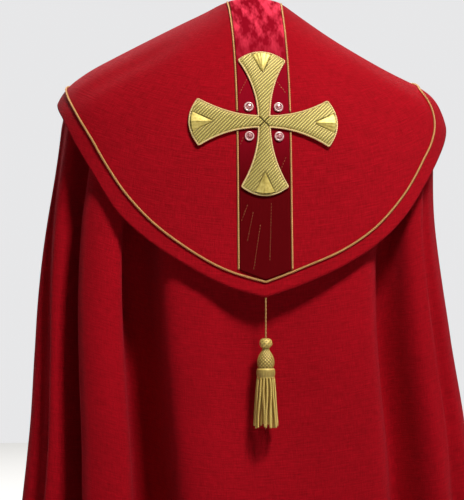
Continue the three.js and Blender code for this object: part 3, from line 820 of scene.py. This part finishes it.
class COPE_OT_strip(bpy.types.Operator):
    """Make the velvet strip down the hood, with its rows of small stitches"""
    bl_idname = "cope.strip"
    bl_label = "Velvet strip"

    def execute(self, context):
        sideways = np.linspace(-1, 1, 41)[None, :] * STRIP["half_width"]
        end = hood_reach(0.0, "cord") - 2.4 - np.abs(sideways) * 0.36
        reach = mix(STRIP["top"], end, np.linspace(0, 1, 161)[:, None])
        crush = 0.25 * np.sin(sideways / 7 + reach / 23) * np.sin(reach / 9 - sideways / 13)
        near_neck = 1 - ease(reach, 60, 150)
        outer = on_hood(sideways, reach, STRIP["lift"] + STRIP["wall"] + crush * near_neck)
        inner = on_hood(sideways, reach, STRIP["lift"])
        strip = make_piece("velvet_strip_cloth", wall(outer, inner),
                           ready_material("Crushed_velvet", crushed_velvet),
                           ["velvet_strip"], cloth_places(sideways, reach))
        stitches = [self.stitch(x, reach, ahead)
                    for line in STITCH_LINES for x, reach, ahead in self.along(*line)]
        make_piece("velvet_stitches", joined(stitches), ready_material("Copper_cord", copper_cord))
        return {"FINISHED"}

    @staticmethod
    def along(x, reach, to_x, to_reach):
        """Places a pitch apart along one line of stitches, each with its direction."""
        length = np.hypot(to_x - x, to_reach - reach)
        ahead = np.array([to_x - x, to_reach - reach]) / length
        for place in np.arange(0, length, STITCH["pitch"]):
            yield x + ahead[0] * place, reach + ahead[1] * place, ahead

    @staticmethod
    def stitch(x, reach, ahead):
        steps = np.linspace(-0.5, 0.5, 4) * STITCH["length"]
        lift = STRIP["lift"] + STRIP["wall"] + STITCH["radius"] * (1 - (steps / steps[0]) ** 2)
        path = on_hood(x + ahead[0] * steps, reach + ahead[1] * steps, lift)
        return tube(path, STITCH["radius"], 5)


class COPE_OT_sewn_cords(bpy.types.Operator):
    """Make the gold cords along the strip and inside the hood's edge"""
    bl_idname = "cope.sewn_cords"
    bl_label = "Sewn cords"

    def execute(self, context):
        sizes = context.scene.cope_sizes
        radius, pitch = sizes.cord_radius, sizes.cord_pitch
        copper = ready_material("Copper_cord", copper_cord)
        sideways = STRIP["half_width"] + radius + 0.3
        crossing = arm_half_width(sideways) + 2 * CROSS["cord"] + 1.5
        stretches = {"upper": (STRIP["top"], CROSS["reach"] - crossing),
                     "lower": (CROSS["reach"] + crossing, 429)}
        for side, sign in (("left", 1), ("right", -1)):
            for name, (start, end) in stretches.items():
                path = on_hood(sign * sideways, np.linspace(start, end, 80), radius * 0.9)
                node = f"strip_cord_{side}_{name}"
                make_piece(node + "_twist", twisted(path, radius, pitch, 0.9), copper,
                           [node])
        bearing = np.linspace(-164, 164, 329)
        path = hood_surface(bearing, hood_reach(bearing, "cord"), radius * 0.9)
        make_piece("hood_edge_cord_twist", twisted(path, radius * 1.08, pitch, 0.9), copper,
                   ["hood_edge_cord"])
        return {"FINISHED"}


def arm_half_width(along):
    """Half the width of an arm of the cross at a distance from its middle."""
    share = np.minimum(along, CROSS["corner"]) / CROSS["corner"]
    return CROSS["half_waist"] + (CROSS["half_end"] - CROSS["half_waist"]) * share ** CROSS["flare"]


def arm_end(share):
    """How far an arm's end is from the middle, from its middle (0) to its corners (-1 and 1)."""
    return CROSS["corner"] + (CROSS["arm"] - CROSS["corner"]) * (1 - share ** 2)


def on_cross(quarter, across, along, lift):
    """A place on the cross, across and along an arm that points a quarter turn at a time."""
    sine, cosine = round(np.sin(quarter * np.pi / 2)), round(np.cos(quarter * np.pi / 2))
    sideways = across * cosine + along * sine
    down = across * sine - along * cosine
    return on_hood(sideways, CROSS["reach"] + down + CROSS["droop"] * sideways ** 2, lift)


def couching(across, along, quarter):
    """The height of gold threads couched in slanting rows, tied down in a brick pattern."""
    lean = 1 if quarter % 2 == 0 else -1
    across_rows = (along + lean * across) / np.sqrt(2)
    along_rows = (along - lean * across) / np.sqrt(2)
    row = np.floor(across_rows / THREAD["row"])
    round_row = np.abs(np.sin(np.pi * across_rows / THREAD["row"])) ** 0.6
    tie = np.abs(np.sin(np.pi * (along_rows / THREAD["bead"] + 0.5 * (row % 2)))) ** 0.7
    return THREAD["height"] * round_row + THREAD["bead_height"] * tie * round_row


class COPE_OT_cross(bpy.types.Operator):
    """Make the goldwork cross: four couched arms, each with a shiny wedge and an outline cord"""
    bl_idname = "cope.cross"
    bl_label = "Cross"

    def execute(self, context):
        low = STRIP["lift"] + STRIP["wall"] + 0.2
        gold = ready_material("Gold_thread", gold_thread)
        shine = ready_material("Shiny_gold", shiny_gold)
        edge = ready_material("Outline_thread", outline_thread)
        for quarter, name in enumerate(("top", "left", "bottom", "right")):
            arm, relief = self.arm(quarter, low)
            piece = make_piece(f"cross_{name}_couching", arm, gold,
                               [f"cross_arm_{name}"], relief)
            make_piece(f"cross_{name}_shine", self.wedge(quarter, low + CROSS["wall"]), shine,
                       [f"cross_wedge_{name}"])
            make_piece(f"cross_{name}_outline", self.outline(quarter, low), edge,
                       [f"cross_cord_{name}"])
        return {"FINISHED"}

    @staticmethod
    def arm(quarter, low):
        share = np.linspace(-1, 1, 91)[None, :]
        length = np.linspace(0, 1, 171)[:, None]
        along = mix(CROSS["half_waist"] * np.abs(share) + 0.1, arm_end(share), length)
        across = share * arm_half_width(along)
        crown = 1 - np.abs(share) ** 6 * 0.5
        highest = THREAD["height"] + THREAD["bead_height"]
        mitre = np.exp(-((along - CROSS["half_waist"] * np.abs(share)) / 1.1) ** 2)
        fold = mix(WEDGE["half_tip"], WEDGE["half_base"],
                   (along - CROSS["arm"] + WEDGE["length"]) / WEDGE["length"])
        beside = np.exp(-((np.abs(across) - fold) / 1.3) ** 2)
        sunk = np.maximum(mitre, beside * ease(along, CROSS["arm"] - WEDGE["length"] - 6, CROSS["arm"] - 24))
        relief = couching(across, along, quarter) * (1 - sunk)
        top = low + CROSS["wall"] * crown + relief - 0.5 * sunk
        shape = wall(on_cross(quarter, across, along, top), on_cross(quarter, across, along, low))
        return shape, relief_places(relief / highest)

    @staticmethod
    def wedge(quarter, top):
        share = np.linspace(-1, 1, 33)[None, :]
        length = np.linspace(0, 1, 33)[:, None]
        across = share * mix(WEDGE["half_tip"], WEDGE["half_base"], length)
        base = arm_end(across / CROSS["half_end"]) - WEDGE["inset"]
        along = mix(CROSS["arm"] - WEDGE["length"], base, length)
        ridge = (1 - np.abs(share)) ** 0.8 * mix(0.6, 1.0, length)
        flute = 0.35 * np.abs(np.sin(2.5 * np.pi * share)) * length
        lift = top + WEDGE["edge"] + WEDGE["ridge"] * ridge - flute
        return wall(on_cross(quarter, across, along, lift), on_cross(quarter, across, along, top - 0.6))

    @staticmethod
    def outline(quarter, low):
        clear = CROSS["cord"] * 0.8
        along = np.linspace(CROSS["half_waist"] + clear, CROSS["corner"] - 1, 60)
        side = arm_half_width(along) + clear
        share = np.linspace(-1, 1, 41)
        across = np.concatenate([-side, share * (CROSS["half_end"] + clear), side[::-1]])
        forward = np.concatenate([along, arm_end(share) + clear, along[::-1]])
        path = on_cross(quarter, across, forward, low + CROSS["wall"] * 0.72)
        return twisted(path, CROSS["cord"], 6.4, 0.7)


class COPE_OT_stones(bpy.types.Operator):
    """Make the four round cut stones in smooth mounts"""
    bl_idname = "cope.stones"
    bl_label = "Stones"

    def execute(self, context):
        stone = ready_material("Crystal", crystal)
        mount = ready_material("Pale_mount", pale_mount)
        lift = STRIP["lift"] + STRIP["wall"] + STONE["lift"]
        for side, across in (("left", STONE["offset"]), ("right", -STONE["offset"])):
            for level, down in (("upper", -STONE["offset"]), ("lower", STONE["offset"])):
                foot = on_hood(across, CROSS["reach"] + down, lift)
                ahead = on_hood(across, CROSS["reach"] + down, lift + 1) - foot
                turn = np.array(Vector((0, 0, 1)).rotation_difference(Vector(ahead)).to_matrix())
                points, faces = self.cut_stone()
                make_piece(f"stone_{level}_{side}_cut", (points @ turn.T + foot, faces), stone,
                           [f"stone_{level}_{side}"], smooth=False)
                points, faces = self.ring()
                make_piece(f"stone_{level}_{side}_mount", (points @ turn.T + foot, faces), mount,
                           [f"stone_{level}_{side}"])
        return {"FINISHED"}

    @staticmethod
    def cut_stone():
        """A faceted dome, standing on its origin."""
        sides = STONE["sides"]
        points = []
        for row, (wide, rise) in enumerate(STONE_RINGS):
            angles = (np.arange(sides) + 0.5 * (row % 2)) * 2 * np.pi / sides
            points += [[wide * np.cos(a), wide * np.sin(a), rise] for a in angles]
        index = np.arange(len(points)).reshape(len(STONE_RINGS), sides)
        faces = [index[0][::-1].tolist(), index[-1].tolist()]
        for row in range(len(STONE_RINGS) - 1):
            for side in range(sides):
                after = (side + 1) % sides
                low, ahead = index[row], index[row + 1]
                if row % 2 == 0:
                    faces += [[low[side], low[after], ahead[side]],
                              [low[after], ahead[after], ahead[side]]]
                else:
                    faces += [[low[side], low[after], ahead[after]],
                              [low[side], ahead[after], ahead[side]]]
        faces = [[int(corner) for corner in face] for face in faces]
        return np.array(points), faces

    @staticmethod
    def ring():
        """The smooth round rim that holds a stone."""
        sides = STONE["mount_sides"]
        turns = np.arange(sides) * 2 * np.pi / sides
        points = np.array([[wide * np.cos(turn), wide * np.sin(turn), rise]
                           for wide, rise in MOUNT_PROFILE for turn in turns])
        rows = len(MOUNT_PROFILE)
        faces = [[row * sides + side, row * sides + (side + 1) % sides,
                  (row + 1) % rows * sides + (side + 1) % sides, (row + 1) % rows * sides + side]
                 for row in range(rows) for side in range(sides)]
        return points, faces


class COPE_OT_tassel(bpy.types.Operator):
    """Make the cord at the hood's point, and the tassel that hangs from it"""
    bl_idname = "cope.tassel"
    bl_label = "Tassel"

    def execute(self, context):
        cord_low, cord_high = (np.array(corner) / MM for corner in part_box("tassel_cord"))
        exit_point = np.array([*((cord_low + cord_high) / 2)[:2], cord_high[2]])
        down = np.array([0, 0, -1.0])
        full = TASSEL["cord"] + TASSEL["through"]
        path = exit_point + down * np.linspace(0, full, 24)[:, None]
        thread = ready_material("Tassel_thread", tassel_thread)
        copper = ready_material("Copper_cord", copper_cord)
        cord = make_piece("tassel_cord_twist", twisted(path, TASSEL["cord_radius"], 11.0, 0.6), copper,
                          ["tassel_cord"])
        depth = TASSEL["cord"] + TASSEL["gap"]
        for name, profile, pattern in (("knob", KNOB, self.knotted), ("bulb", BULB, self.woven),
                                       ("collar", COLLAR, self.wound)):
            (points, faces), relief = lathed(profile, 144, 80, pattern)
            make_piece(f"tassel_{name}_thread", (points + exit_point + down * depth, faces),
                                     thread, [f"tassel_{name}"], relief)
            depth += profile[-1][1] + TASSEL["gap"]
        fringe = self.fringe(exit_point + down * depth)
        # A fixed height of 0.8 lays a little painted groove shade all over the fringe.
        raised = np.tile([0.8, 0.0, 0.0], (len(fringe[0]), 1))
        make_piece("tassel_fringe", fringe, thread, ["tassel_skirt"],
                                 raised)
        return {"FINISHED"}

    @staticmethod
    def knotted(angle, place):
        """Threads that cross over each other, as in a knotted button."""
        over = np.abs(np.sin(4 * angle + place * 0.5)) ** 0.7
        under = np.abs(np.sin(4 * angle - place * 0.5)) ** 0.7
        return 1.1 * np.maximum(over, under * 0.8)

    @staticmethod
    def woven(angle, place):
        """A net of fine diagonal threads."""
        one = np.abs(np.sin(7 * angle + place * 0.62)) ** 0.6
        other = np.abs(np.sin(7 * angle - place * 0.62)) ** 0.6
        return 0.9 * one * other

    @staticmethod
    def wound(angle, place):
        """Satin threads side by side, bound round near the top and the bottom."""
        binding = np.exp(-((place - 2.5) / 1.2) ** 2) + np.exp(-((place - 15) / 1.4) ** 2)
        return 0.4 * np.abs(np.sin(20 * angle)) * (1 - np.clip(binding, 0, 1)) + 0.5 * binding

    @staticmethod
    def fringe(top):
        """Twisted strands in two rings, with uneven ends."""
        chance = np.random.default_rng(11)
        parts = []
        for count, inset in ((SKIRT["outer"], 0.0), (SKIRT["inner"], 4.6)):
            for strand in range(count):
                turn = 2 * np.pi * (strand + chance.uniform(-0.16, 0.16)) / count
                length = SKIRT["length"] - chance.uniform(0, 7)
                share = np.linspace(0, 1, 12)
                wide = mix(SKIRT["top"], SKIRT["bottom"], share ** 0.7) - inset
                sway = chance.uniform(-0.14, 0.14) * share ** 2
                sway = sway + chance.uniform(-0.07, 0.07) * np.sin(2 * np.pi * share)
                wide = wide + chance.uniform(-0.9, 1.3) * np.sin(np.pi * share)
                path = np.stack([wide * np.cos(turn + sway), wide * np.sin(turn + sway),
                                 -share * length], -1)
                parts.append(twisted(path + top, SKIRT["strand"], 5.4, 0.9, sides=5,
                                     start=chance.uniform(0, 6.28)))
        return joined(parts)


class COPE_OT_morse(bpy.types.Operator):
    """Make the plain band that holds the cope closed, with its hook and eye"""
    bl_idname = "cope.morse"
    bl_label = "Clasp band"

    def execute(self, context):
        half = MORSE["gap"] + MORSE["overlap"]
        sideways = np.linspace(-half, half, 61)[None, :]
        reach = np.linspace(MORSE["top"], MORSE["bottom"], 33)[:, None]
        bearing = 180 - np.degrees(np.arcsin(sideways / SIDE_LINE.out(reach)))
        bearing, reach = np.broadcast_arrays(bearing, reach)
        edge = np.minimum(np.minimum(sideways + half, half - sideways),
                          np.minimum(reach - MORSE["top"], MORSE["bottom"] - reach))
        seam = -0.6 * np.exp(-((edge - 6) / 1.3) ** 2)
        lift = MORSE["lift"] + 2.5 + seam
        away = form_outward(bearing, reach)
        outer = form_point(bearing, reach) + away * lift[..., None]
        inner = form_point(bearing, reach) + away * MORSE["lift"]
        band = make_piece("morse_band_cloth", wall(outer, inner), ready_material("Red_wool", red_wool),
                          ["morse_band"], cloth_places(sideways, reach))
        for name in ("morse_hook", "morse_eye"):
            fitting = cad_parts[name]
            fitting.data.materials.clear()
            fitting.data.materials.append(ready_material("Plain_brass", plain_brass))
        return {"FINISHED"}


# ------------------------------------------------------------------------------------- the stage

def area_light(name, place, target, size, power, colour=(1, 1, 1)):
    light = bpy.data.lights.new(name, "AREA")
    light.shape = "RECTANGLE"
    light.size, light.size_y = size
    light.energy = power
    light.color = colour
    holder = bpy.data.objects.new(name, light)
    holder.location = place
    holder.rotation_euler = (Vector(target) - Vector(place)).to_track_quat("-Z", "Y").to_euler()
    bpy.context.collection.objects.link(holder)


class COPE_OT_stage(bpy.types.Operator):
    """Set the camera, the soft lights and a plain pale floor"""
    bl_idname = "cope.stage"
    bl_label = "Stage"

    def execute(self, context):
        self.camera(context.scene)
        mesh = bpy.data.meshes.new("floor")
        half = FLOOR["size"] / 2
        mesh.from_pydata([(-half, -half, FLOOR["height"]), (half, -half, FLOOR["height"]),
                          (half, half, FLOOR["height"]), (-half, half, FLOOR["height"])],
                         [], [(0, 1, 2, 3)])
        mesh.materials.append(Finish("Pale_floor", Base_Color=(0.78, 0.77, 0.75, 1), Roughness=0.9).material)
        floor = bpy.data.objects.new("floor", mesh)
        context.collection.objects.link(floor)
        world = bpy.data.worlds.new("pale")
        world.use_nodes = True
        background = world.node_tree.nodes["Background"]
        background.inputs["Color"].default_value = (0.86, 0.86, 0.87, 1)
        background.inputs["Strength"].default_value = 0.03
        self.bright_backdrop(world.node_tree, background)
        context.scene.world = world
        context.scene.view_settings.view_transform = "Standard"
        area_light("key", (-0.6, 1.6, 1.75), (0.05, 0.1, -0.1), (0.45, 0.45), 84)
        area_light("right_rim", (-2.0, 0.3, 1.2), (-0.2, 0, -0.4), (0.5, 1.2), 5)
        area_light("front_fill", (1.4, -2.6, 1.6), (0, 0, -0.6), (1.8, 1.8), 30)
        area_light("floor_wash", (0, -4.5, 3.2), (0, -4.5, 0), (7, 4), 420)
        return {"FINISHED"}

    @staticmethod
    def bright_backdrop(tree, background):
        """Shows the backdrop paler than the light that it gives."""
        seen = tree.nodes.new("ShaderNodeBackground")
        seen.inputs["Color"].default_value = (0.8, 0.8, 0.81, 1)
        path = tree.nodes.new("ShaderNodeLightPath")
        either = tree.nodes.new("ShaderNodeMixShader")
        tree.links.new(path.outputs["Is Camera Ray"], either.inputs["Fac"])
        tree.links.new(background.outputs["Background"], either.inputs[1])
        tree.links.new(seen.outputs["Background"], either.inputs[2])
        tree.links.new(either.outputs["Shader"], tree.nodes["World Output"].inputs["Surface"])

    @staticmethod
    def camera(scene):
        """Behind the wearer, a little to their left, level with the shoulder blades."""
        yaw, distance, sideways = np.radians(6.5), 2.4, 0.0275
        behind = np.array([np.sin(yaw), np.cos(yaw), 0])
        right = np.array([-np.cos(yaw), np.sin(yaw), 0])
        place = np.array([0, 0, -0.3565]) + distance * behind - sideways * right
        data = bpy.data.cameras.new("camera")
        data.lens, data.sensor_width = 112.9, 36
        camera = bpy.data.objects.new("camera", data)
        camera.location = place
        camera.rotation_euler = Vector(-behind).to_track_quat("-Z", "Y").to_euler()
        scene.collection.objects.link(camera)
        scene.camera = camera


class COPE_PT_panel(bpy.types.Panel):
    """The cope's sizes, colours and pieces"""
    bl_idname = "COPE_PT_panel"
    bl_label = "Cope"
    bl_space_type = "VIEW_3D"
    bl_region_type = "UI"
    bl_category = "Cope"

    def draw(self, context):
        for group in (context.scene.cope_sizes, context.scene.cope_colours):
            for name in group.bl_rna.properties.keys():
                if name not in ("rna_type", "name"):
                    self.layout.prop(group, name)
        for operator in OPERATORS:
            self.layout.operator(operator.bl_idname)


OPERATORS = (COPE_OT_stage, COPE_OT_tassel, COPE_OT_cloak, COPE_OT_hood, COPE_OT_strip,
             COPE_OT_sewn_cords, COPE_OT_cross, COPE_OT_stones, COPE_OT_morse)
CLASSES = (CopeSizes, CopeColours, *OPERATORS, COPE_PT_panel)


def register():
    for made in CLASSES:
        bpy.utils.register_class(made)
    bpy.types.Scene.cope_sizes = bpy.props.PointerProperty(type=CopeSizes)
    bpy.types.Scene.cope_colours = bpy.props.PointerProperty(type=CopeColours)


def unregister():
    del bpy.types.Scene.cope_colours
    del bpy.types.Scene.cope_sizes
    for made in reversed(CLASSES):
        bpy.utils.unregister_class(made)


def main():
    register()
    for operator in OPERATORS:
        group, name = operator.bl_idname.split(".")
        getattr(getattr(bpy.ops, group), name)()


if __name__ == "__main__":
    main()
